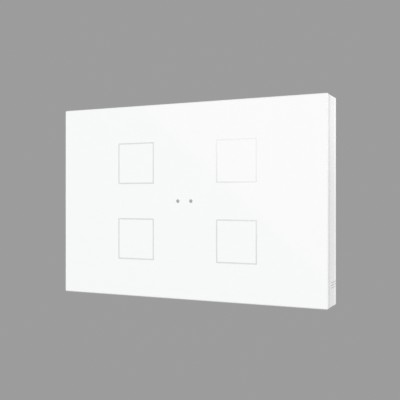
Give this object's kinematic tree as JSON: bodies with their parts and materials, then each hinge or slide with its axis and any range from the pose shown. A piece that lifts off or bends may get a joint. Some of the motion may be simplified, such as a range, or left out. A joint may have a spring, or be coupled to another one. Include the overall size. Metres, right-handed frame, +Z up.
{
  "type": "touch light switch",
  "caption": "Landscape touch light switch: white glass with square key outlines and sensor dots on a slim housing, held by magnets on a steel wall plate, with bus and input plugs behind.",
  "frame": {"origin": "on the wall, behind the middle of the panel: the centre of the wall plate's back face", "axes": "+X to the right as seen from the room, +Y into the wall, +Z up; the glass faces -Y"},
  "size_m": [0.12, 0.0231, 0.081],
  "materials": {
    "white_glass": "polished, back-printed white",
    "outline_ink": "fine light grey ink",
    "window_ink": "smoked grey ink that lets infrared through",
    "mask_ink": "white ink",
    "foam_tape": "white foam",
    "pad_copper": "thin copper foil",
    "clear_acrylic": "clear, slightly frosted",
    "lamp_package": "small moulded lamp",
    "sensor_package": "dark clear resin",
    "boot_rubber": "black silicone rubber",
    "board_laminate": "green lacquered laminate",
    "chip_epoxy": "black moulded epoxy",
    "coil_ferrite": "dark grey ferrite",
    "capacitor_resin": "ochre resin",
    "capacitor_ceramic": "tan ceramic",
    "resistor_film": "black lacquered film",
    "crystal_can": "plain metal can",
    "header_plastic": "black plastic",
    "tinned_pins": "bright tin",
    "switch_plastic": "black plastic",
    "button_plastic": "mid grey plastic",
    "white_plastic": "satin white moulding",
    "zinc_screws": "zinc plated",
    "magnet_nickel": "nickel plated",
    "plug_red": "dark red moulding",
    "plug_grey": "dark grey moulding",
    "contact_brass": "tinned brass",
    "plate_steel": "zinc plated pressed sheet",
    "plug_pale": "light grey moulding"
  },
  "bodies": {
    "wall_mount": {"wall_plate": "plate_steel"},
    "touch_panel": {"front_glass": "white_glass", "key_outlines": "outline_ink", "sensor_windows": "window_ink", "printed_mask": "mask_ink", "glass_tape": "foam_tape", "touch_electrodes": "pad_copper", "key_light_guides": "clear_acrylic", "key_leds": "lamp_package", "infrared_emitter": "sensor_package", "infrared_receiver": "sensor_package", "sensor_boot": "boot_rubber", "sensor_board": "board_laminate", "microcontroller": "chip_epoxy", "touch_controller": "chip_epoxy", "bus_transceiver": "chip_epoxy", "power_inductor": "coil_ferrite", "storage_capacitors": "capacitor_resin", "clock_crystal": "crystal_can", "surge_suppressor": "chip_epoxy", "supply_regulator": "chip_epoxy", "decoupling_capacitors": "capacitor_ceramic", "touch_resistors": "resistor_film", "temperature_probe": "sensor_package", "bus_header": "header_plastic", "bus_pins": "tinned_pins", "input_header": "header_plastic", "input_pins": "tinned_pins", "programming_switch": "switch_plastic", "programming_led": "lamp_package", "status_light_pipe": "clear_acrylic", "housing_frame": "white_plastic", "rear_cover": "white_plastic", "cover_screws": "zinc_screws", "holding_magnets": "magnet_nickel"},
    "button": {"programming_button": "button_plastic"},
    "bus_connector": {"bus_plug_positive": "plug_red", "bus_plug_negative": "plug_grey", "bus_plug_contacts": "contact_brass"},
    "input_connector": {"input_plug": "plug_pale", "input_plug_contacts": "contact_brass"}
  },
  "joints": [
    {"name": "panel_release", "type": "slide", "parent": "wall_mount", "child": "touch_panel", "axis": [0, -1, 0], "range_m": [0, 0.03]},
    {"name": "button_press", "type": "slide", "parent": "touch_panel", "child": "button", "axis": [0, -1, 0], "range_m": [0, 0.00025], "stiffness_N_per_m": 4000},
    {"name": "bus_plug_pull", "type": "slide", "parent": "touch_panel", "child": "bus_connector", "axis": [0, 1, 0], "range_m": [0, 0.012]},
    {"name": "input_plug_pull", "type": "slide", "parent": "touch_panel", "child": "input_connector", "axis": [0, 1, 0], "range_m": [0, 0.01]}
  ]
}
